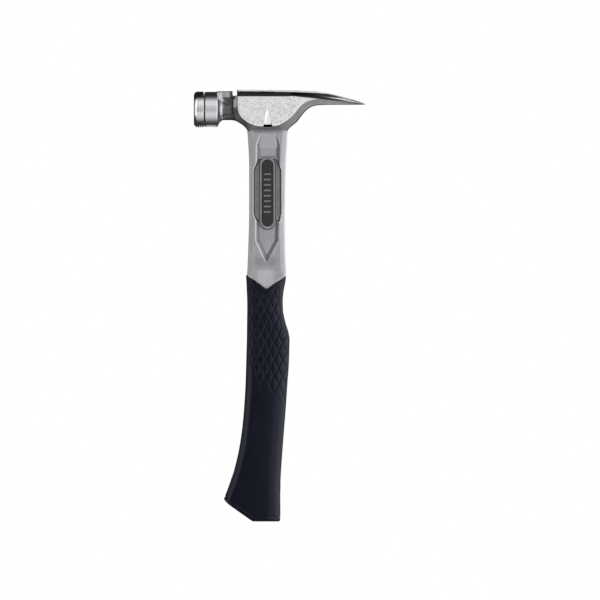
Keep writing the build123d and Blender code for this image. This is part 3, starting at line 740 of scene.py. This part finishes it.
def arc(cx, cr, r, a0, a1, n):
    """Points of a fillet in the profile's plane, angles in degrees."""
    return [(cx + r * math.cos(math.radians(a)), cr + r * math.sin(math.radians(a))) for a in np.linspace(a0, a1, n)]


def groove(s, r, width, depth):
    """A small turned groove in a cylinder."""
    return [(s - width / 2, r), (s - width / 3, r - depth * 0.8), (s, r - depth), (s + width / 3, r - depth * 0.8), (s + width / 2, r)]


# striking face: polished cap with a rolled bevel and turned lines, on a threaded stud
R_CAP, R_STUD, PITCH, THREAD = 15.23, 6.0, 1.75, 0.98
face_profile = [(CAP_FRONT + 0.02, 0.0)]
face_profile += [(CAP_FRONT + 0.02, r) for r in (1.0, 2.5, 4.0)]
for r in np.arange(4.6, 12.0, 0.8):
    face_profile += [(CAP_FRONT + 0.02, r), (CAP_FRONT + 0.035, r + 0.16), (CAP_FRONT + 0.035, r + 0.24), (CAP_FRONT + 0.02, r + 0.4)]
bevel = [(CAP_FRONT, 12.15), (CAP_FRONT + 0.05, 12.45), (CAP_FRONT + 0.25, 13.15), (CAP_FRONT + 0.58, 13.72), (CAP_FRONT + 1.0, 14.22), (CAP_FRONT + 1.42, 14.62), (CAP_FRONT + 1.9, 14.93), (CAP_FRONT + 2.4, 15.13), (CAP_FRONT + 2.9, 15.22)]
face_profile += bevel
for s0 in (-58.3, -56.5, -54.9):
    face_profile += groove(s0, R_CAP, 0.36, 0.035)
face_profile += [(CAP_BACK - 0.72, R_CAP)] + arc(CAP_BACK - 0.7, R_CAP - 0.7, 0.68, 80, 0, 6) + [(CAP_BACK - 0.01, 14.0), (CAP_BACK - 0.01, 10.0), (CAP_BACK - 0.01, 7.0), (CAP_BACK, 6.02)]
stud = np.arange(CAP_BACK + 0.12, CAP_BACK + 11.0, PITCH / 14)
face_profile += [(s0, R_STUD) for s0 in stud]
face_profile += [(CAP_BACK + 11.05, 5.98), (CAP_BACK + 11.3, 5.7), (CAP_BACK + 11.65, 5.35), (CAP_BACK + 11.98, 5.0), (CAP_BACK + 11.99, 3.0), (CAP_BACK + 11.99, 0.0)]


def thread(s, r, turns):
    """An external thread, with a relieved root under the cap and a run-out at the end."""
    if not CAP_BACK + 0.1 < s < CAP_BACK + 11.8:
        return np.full(len(turns), r)
    k = (-s / PITCH - turns) % 1.0
    tooth = np.clip(np.abs(k - 0.5) * 2 * 1.28 - 0.14, 0, 1)
    on = float(smoothstep(CAP_BACK + 0.3, CAP_BACK + 1.4, np.array(s)))
    return np.minimum(r, R_STUD) - THREAD * tooth * on - 0.55 * (1 - on) * float(smoothstep(CAP_BACK + 0.1, CAP_BACK + 0.3, np.array(s)))


steel = lathe("striking_face_turned", face_profile, 192, (0, 0, FACE_Z), "X", thread)
put_material(steel, MAT["striking_face"])
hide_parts("striking_face")
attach(steel, "face")

# seal ring: a flat rubber washer with a rounded lip and a shallow bead
S0, S1 = CAP_BACK + 0.02, CAP_BACK + 0.77


def washer(name):
    ring = [(S0, 13.4), (S0, 10.5), (S0, 8.0), (S0, 6.6), (S0 + 0.15, 6.15), (S0 + 0.375, 6.08), (S1 - 0.15, 6.15), (S1, 6.6), (S1, 8.0), (S1, 10.5), (S1, 13.4)]
    outer = [((S0 + S1) / 2 + 0.375 * math.cos(t), 13.98 + 0.37 * math.sin(t)) for t in np.linspace(0, math.pi, 11)]
    prof = np.array(ring + outer)
    cols = 160
    ang = 2 * np.pi * np.arange(cols) / cols
    verts = np.concatenate([np.column_stack([np.full(cols, a), r * np.sin(ang), FACE_Z + r * np.cos(ang)]) for a, r in prof])
    n = len(prof)
    faces = [(k * cols + j, k * cols + (j + 1) % cols, (k + 1) % n * cols + (j + 1) % cols, (k + 1) % n * cols + j) for k in range(n) for j in range(cols)]
    ob = new_object(name, verts * 0.001, faces)
    bm = bmesh.new()
    bm.from_mesh(ob.data)
    bmesh.ops.recalc_face_normals(bm, faces=bm.faces)
    bm.to_mesh(ob.data)
    bm.free()
    return ob


seal = washer("seal_ring_moulded")
put_material(seal, MAT["face_seal_ring"])
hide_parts("face_seal_ring")
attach(seal, "face_carrier")

# nail magnet: a plated disc with rounded rims and a fine turned ring on top
M_LO, M_HI = [1000 * v for v in (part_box("nail_magnet")[0][2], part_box("nail_magnet")[1][2])]
mag_profile = [(M_LO, 0.0), (M_LO, 1.2), (M_LO, 2.2)] + arc(M_LO + 0.25, 2.25, 0.25, 180, 90, 5) + [(M_LO + 1.5, 2.5), (M_HI - 0.9, 2.5)]
mag_profile += [(M_HI - 0.3, 2.5), (M_HI - 0.2, 2.44), (M_HI - 0.1, 2.34), (M_HI - 0.03, 2.24), (M_HI, 2.1), (M_HI, 1.75), (M_HI - 0.05, 1.65), (M_HI - 0.05, 1.5), (M_HI, 1.4), (M_HI, 0.7), (M_HI, 0.0)]
magnet = lathe("nail_magnet_plated", mag_profile, 72, (-34.18, 0, 0), "Z")
put_material(magnet, MAT["nail_magnet"])
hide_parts("nail_magnet")
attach(magnet, "root")

# inlays: moulded plates with soft edges
for node in ("inlay_front", "inlay_back"):
    plate = cast(node, node + "_moulded", 0.00017)
    relax(plate.data, np.full(len(plate.data.vertices), 1.0), 3)
    put_material(plate, MAT[node])
    plate.data.polygons.foreach_set("use_smooth", [True] * len(plate.data.polygons))
    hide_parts(node)
    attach(plate, "root")
    print(node, len(plate.data.polygons))


def build_tang():
    """The six-sided tang inside the grip, with rounded corners and a chamfered foot."""
    corners = np.array([(-7.2, 0.0), (-4.0, -4.6), (4.0, -4.6), (7.2, 0.0), (4.0, 4.6), (-4.0, 4.6)])
    cols = 96
    loop = np.vstack([corners, corners[:1]])
    d = np.concatenate([[0], np.cumsum(np.hypot(*np.diff(loop, axis=0).T))])
    s = np.arange(960) / 960 * d[-1]
    xy = np.stack([np.interp(s, d, loop[:, 0]), np.interp(s, d, loop[:, 1])], 1)
    k = np.fft.fftfreq(960) * 960
    low = np.exp(-0.5 * (2 * np.pi * k * (0.5 / (d[-1] / 960)) / 960) ** 2)
    xy = np.real(np.fft.ifft(np.fft.fft(xy, axis=0) * low[:, None], axis=0))[::10]
    rings = [(16.0, 0.0), (16.0, 0.55), (16.02, 0.86), (16.25, 0.93), (16.6, 0.965), (17.2, 0.985)] + [(z, 0.985) for z in (40, 80, 120, 160, 191.0)] + [(192.0, 0.97), (192.0, 0.5), (192.0, 0.0)]
    verts, faces, start = [], [], []
    for z, f in rings:
        start.append(len(verts))
        if f == 0.0:
            verts.append((0.0, 0.0, z))
        else:
            verts.extend(np.column_stack([xy * f, np.full(cols, z)]))
    for k in range(len(rings) - 1):
        a, b = start[k], start[k + 1]
        for j in range(cols):
            i = (j + 1) % cols
            if rings[k][1] == 0.0:
                faces.append((a, b + i, b + j))
            elif rings[k + 1][1] == 0.0:
                faces.append((a + j, a + i, b))
            else:
                faces.append((a + j, a + i, b + i, b + j))
    return new_object("titanium_tang", np.array(verts) * 0.001, faces)


tang = build_tang()
put_material(tang, MAT["titanium_body"])
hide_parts("titanium_body")
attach(tang, "root")


# ------------------------------------------------------------ camera, light
K = 0.0008535          # metres across one unit of the 600-unit frame
cam_data = bpy.data.cameras.new("camera")
cam_data.type = "ORTHO"
cam_data.ortho_scale = 600 * K
cam = bpy.data.objects.new("camera", cam_data)
scene.collection.objects.link(cam)
cam.location = (0.0288, -2.5, 0.18905)
cam.rotation_euler = (math.radians(90), 0, 0)
scene.camera = cam
cam_data.clip_end = 20

world = bpy.data.worlds.new("studio")
scene.world = world
world.use_nodes = True
wt = world.node_tree
wt.nodes.clear()


def wn(kind, **props):
    node = wt.nodes.new(kind)
    for k, v in props.items():
        setattr(node, k, v)
    return node


def wput(sock, v):
    if hasattr(v, "is_output"):
        wt.links.new(v, sock)
    else:
        sock.default_value = v


def wmath(op, a, b=0.0):
    node = wn("ShaderNodeMath", operation=op)
    wput(node.inputs[0], a)
    wput(node.inputs[1], b)
    return node.outputs[0]


def wspan(v, a, b, lo=0.0, hi=1.0):
    node = wn("ShaderNodeMapRange", interpolation_type="SMOOTHSTEP")
    wput(node.inputs["Value"], v)
    node.inputs["From Min"].default_value = a
    node.inputs["From Max"].default_value = b
    node.inputs["To Min"].default_value = lo
    node.inputs["To Max"].default_value = hi
    return node.outputs[0]


coord = wn("ShaderNodeTexCoord").outputs["Generated"]
sep = wn("ShaderNodeSeparateXYZ")
wput(sep.inputs[0], coord)
dx, dy, dz = sep.outputs
# a soft grey room. The angle goes up from the viewer's side: 90 degrees is overhead, 180 the far horizon.
ROOM = [
    (-180, 0.05), (-141, 0.05), (-125, 0.035), (-100, 0.06), (-88, 0.11), (-76, 0.28), (-67, 0.52), (-55, 0.72), (-40, 0.90), (-26, 0.95),
    (-18, 0.90), (-13, 0.60), (-4, 0.60), (8, 0.68), (20, 0.78), (30, 0.92), (45, 1.06), (54, 0.96), (63, 0.70), (71, 0.44), (79, 0.20),
    (87, 0.05), (95, 0.012), (150, 0.02), (165, 0.05), (180, 0.05),
]
angle = wmath("ARCTAN2", dz, wmath("MULTIPLY", dy, -1.0))
turn = wmath("ADD", wmath("MULTIPLY", angle, 0.5 / math.pi), 0.5)
curve = wn("ShaderNodeValToRGB")
wput(curve.inputs[0], turn)
marks = curve.color_ramp.elements
marks[0].position, marks[1].position = 0.0, 1.0
for deg, level in ROOM[1:-1]:
    marks.new((deg + 180) / 360)
for mark, (deg, level) in zip(sorted(marks, key=lambda e: e.position), ROOM):
    mark.color = (level / 2, level / 2, level / 2, 1)
level = wmath("MULTIPLY", curve.outputs[0], 2.0)
level = wmath("MULTIPLY", level, wspan(dx, 0.05, 0.62, 1.0, 1.75))
lit = wspan(dz, -0.42, -0.16, 0.0, 1.0)
right = wmath("MULTIPLY", wspan(dx, 0.62, 0.86), lit)
left = wmath("MULTIPLY", wspan(dx, -0.72, -0.93), lit)


def wblend(base, mask, value):
    return wmath("ADD", wmath("MULTIPLY", base, wmath("SUBTRACT", 1.0, mask)), wmath("MULTIPLY", mask, value))


level = wblend(level, right, 1.45)
level = wblend(level, left, 0.42)
path = wn("ShaderNodeLightPath").outputs["Is Camera Ray"]
room = wn("ShaderNodeBackground")
wput(room.inputs["Strength"], level)
room.inputs["Color"].default_value = (1.0, 1.0, 1.0, 1)
white = wn("ShaderNodeBackground")
white.inputs["Color"].default_value = (1, 1, 1, 1)
white.inputs["Strength"].default_value = 1.0
mixer = wn("ShaderNodeMixShader")
wput(mixer.inputs[0], path)
wput(mixer.inputs[1], room.outputs[0])
wput(mixer.inputs[2], white.outputs[0])
wput(wn("ShaderNodeOutputWorld").inputs[0], mixer.outputs[0])


def area(name, loc, target, size, power, size_y=None):
    d = bpy.data.lights.new(name, "AREA")
    d.shape = "RECTANGLE"
    d.size = size
    d.size_y = size_y or size
    d.energy = power
    o = bpy.data.objects.new(name, d)
    scene.collection.objects.link(o)
    o.location = loc
    o.rotation_euler = (Vector(target) - Vector(loc)).to_track_quat("-Z", "Y").to_euler()
    return o


# a strip light behind and over the crown, and a small card under the claw
glow = area("crown_strip", (0.030, 0.100, 0.428), (0.030, 0.0, 0.367), 0.115, 0.030, 0.050)
card = area("claw_card", (0.105, -0.012, 0.245), (0.105, -0.012, 0.36), 0.090, 0.022, 0.110)
cap_card = area("cap_card", (-0.200, -0.088, 0.385), (-0.06, -0.010, 0.360), 0.120, 0.195, 0.340)
face_only = bpy.data.collections.new("face_only")
face_only.objects.link(steel)
cap_card.light_linking.receiver_collection = face_only
grip_card = area("grip_card", (-0.300, -0.030, 0.070), (-0.02, -0.010, 0.085), 0.160, 0.130, 0.200)
ring_card = area("ring_card", (-0.0472, 0.078, 0.285), (-0.0472, 0.010, 0.341), 0.012, 0.0021, 0.060)
grip_side = area("grip_side", (0.170, -0.250, 0.100), (0.0, -0.010, 0.095), 0.120, 0.44, 0.300)
grip_only = bpy.data.collections.new("grip_only")
grip_only.objects.link(grip)
grip_side.light_linking.receiver_collection = grip_only
grip_card.light_linking.receiver_collection = grip_only
for lamp in (glow, card, cap_card, grip_card, ring_card, grip_side):
    lamp.visible_camera = False

# ------------------------------------------------------------------- floor
bpy.ops.mesh.primitive_circle_add(vertices=96, radius=2.2, fill_type="NGON", location=(0, 0, 0))
floor = bpy.context.object
floor.name = "floor"
fm = Mat("floor_pale")
fm.set(Base_Color=fm.ramp(fm.noise(14, 3, 0.5), (0.3, (0.80, 0.80, 0.80)), (0.7, (0.84, 0.84, 0.84))), Roughness=0.8)
put_material(floor, fm.m)
floor.visible_glossy = False

scene.view_settings.view_transform = "Standard"
scene.view_settings.look = "None"
